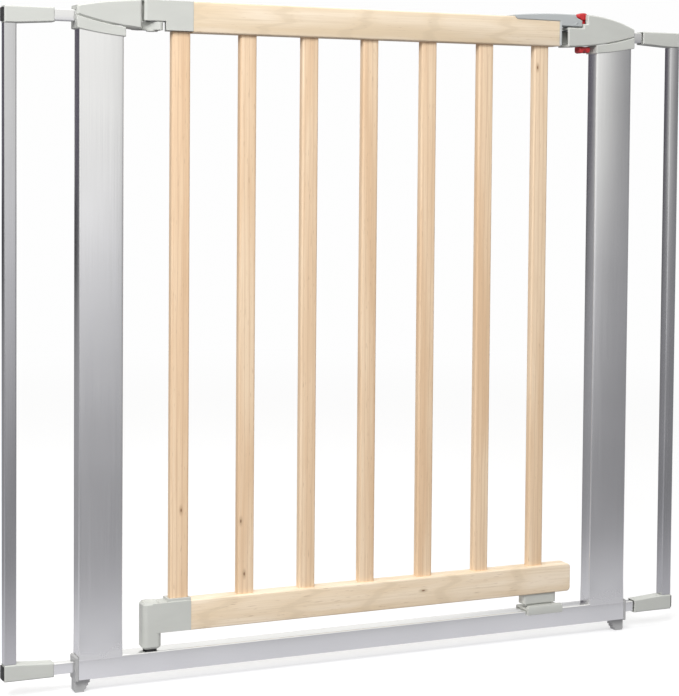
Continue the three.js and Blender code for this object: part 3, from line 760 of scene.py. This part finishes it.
def room_colour(tree):
    """The room all round, with its darker sides laid over it one by one."""
    way = tree.nodes.new("ShaderNodeTexCoord").outputs["Generated"]
    colour = None
    for direction, starts, full, dark in ROOM_SHADES:
        lean = tree.nodes.new("ShaderNodeVectorMath")
        lean.operation = "DOT_PRODUCT"
        lean.inputs[1].default_value = Vector(direction).normalized()
        grade = tree.nodes.new("ShaderNodeMapRange")
        grade.interpolation_type = "SMOOTHSTEP"
        grade.inputs["From Min"].default_value = starts
        grade.inputs["From Max"].default_value = full
        shade_mix = tree.nodes.new("ShaderNodeMix")
        shade_mix.data_type = "RGBA"
        shade_mix.inputs[MIX_OTHER].default_value = (*dark, 1)
        tree.links.new(way, lean.inputs[0])
        tree.links.new(lean.outputs["Value"], grade.inputs["Value"])
        tree.links.new(grade.outputs["Result"], shade_mix.inputs["Factor"])
        if colour is None:
            shade_mix.inputs[MIX_ONE].default_value = (*ROOM, 1)
        else:
            tree.links.new(colour, shade_mix.inputs[MIX_ONE])
        colour = shade_mix.outputs[MIX_RESULT]
    return colour


def surroundings():
    """An even pale backdrop for the eye, and a graded room for light and reflections."""
    world = bpy.data.worlds.new("studio")
    bpy.context.scene.world = world
    world.use_nodes = True
    tree = world.node_tree
    tree.nodes.clear()
    output = tree.nodes.new("ShaderNodeOutputWorld")
    blend = tree.nodes.new("ShaderNodeMixShader")
    seen = tree.nodes.new("ShaderNodeBackground")
    seen.inputs["Strength"].default_value = BACKDROP
    seen.inputs["Color"].default_value = (1, 1, 1, 1)
    room = tree.nodes.new("ShaderNodeBackground")
    path = tree.nodes.new("ShaderNodeLightPath")
    dimmed = tree.nodes.new("ShaderNodeMapRange")
    dimmed.inputs["To Min"].default_value = 1
    dimmed.inputs["To Max"].default_value = ROOM_LIGHT
    tree.links.new(path.outputs["Is Diffuse Ray"], dimmed.inputs["Value"])
    tree.links.new(dimmed.outputs["Result"], room.inputs["Strength"])
    tree.links.new(room_colour(tree), room.inputs["Color"])
    tree.links.new(path.outputs["Is Camera Ray"], blend.inputs[0])
    tree.links.new(room.outputs[0], blend.inputs[1])
    tree.links.new(seen.outputs[0], blend.inputs[2])
    tree.links.new(blend.outputs[0], output.inputs["Surface"])


def camera():
    data = bpy.data.cameras.new("camera")
    data.lens = CAMERA_LENS
    data.sensor_width = 36
    data.sensor_fit = "AUTO"
    data.shift_y = CAMERA_SHIFT
    eye = bpy.data.objects.new("camera", data)
    heading = Matrix.Rotation(math.radians(-CAMERA_HEADING), 4, "Z")
    dip = Matrix.Rotation(math.radians(90 - CAMERA_DIP), 4, "X")
    roll = Matrix.Rotation(math.radians(CAMERA_ROLL), 4, "Z")
    eye.matrix_world = Matrix.Translation(CAMERA_PLACE) @ heading @ dip @ roll
    bpy.context.scene.collection.objects.link(eye)
    bpy.context.scene.camera = eye


# ---------------------------------------------------------------- the gate
camera()
surroundings()
floor()
for row in SOFTBOXES:
    softbox(*row)
bpy.context.scene.view_settings.view_transform = "Standard"

metal = satin_metal("satin_aluminium", "x")
wall_metal = satin_metal("satin_aluminium_wall", "z", tone=WALL_ALUMINIUM)
welded = satin_metal("satin_aluminium_welded", "z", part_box("threshold")[1].z)
grey = moulded_plastic("grey_moulding", GREY)
handle_grey = moulded_plastic("handle_moulding", HANDLE_GREY)
foot_grey_painted_shade = moulded_plastic("foot_moulding_painted_shade", FOOT_GREY_PAINTED_SHADE)
red = moulded_plastic("red_moulding", RED, RED_GLOSS)
steel = bright_steel("bright_steel")
rubber = soft_rubber("soft_rubber")

for side in ("left", "right"):
    post(f"{side}_post", welded)
    square_tube(f"{side}_wall_tube", "z", WALL_TUBE_CORNER, wall_metal)
    for level in ("upper", "lower"):
        square_tube(f"{side}_{level}_arm", "x", ARM_CORNER, metal)
square_tube("threshold", "x", THRESHOLD_CORNER, metal)

slats = sorted(node for node in BODY if node.startswith("slat_"))
for number, node in enumerate(slats):
    wood = pale_wood("pale_wood_" + node, "z", number + 1, SLAT_WARMTH[number], knots(node))
    slat(node, wood)
# the top rail's paler tone is partly painted light from the key lamp close above it
top_wood = pale_wood("pale_wood_top_rail", "x", 11, TOP_RAIL_WARMTH_AND_PAINTED_LIGHT)
rail("top_rail", top_wood, TOP_RAIL_END, False)
pins = knots("bottom_rail")
bottom_wood = pale_wood("pale_wood_bottom_rail", "x", 14, BOTTOM_RAIL_WARMTH, pins, BOTTOM_RAIL_PAINTED_LIGHT)
rail("bottom_rail", bottom_wood, BOTTOM_RAIL_END, True)

finishes = {"grey_plastic": grey, "red_plastic": red, "steel": steel, "rubber": rubber}
# the feet and end caps take the darker grey that carries painted shade
special = {"latch_handle": handle_grey, "left_end_cap": foot_grey_painted_shade, "right_end_cap": foot_grey_painted_shade}
for node in BODY:
    if not frame["nodes"][node].hide_render:
        small_part(node, special.get(node, finishes[SLOT[node]]))
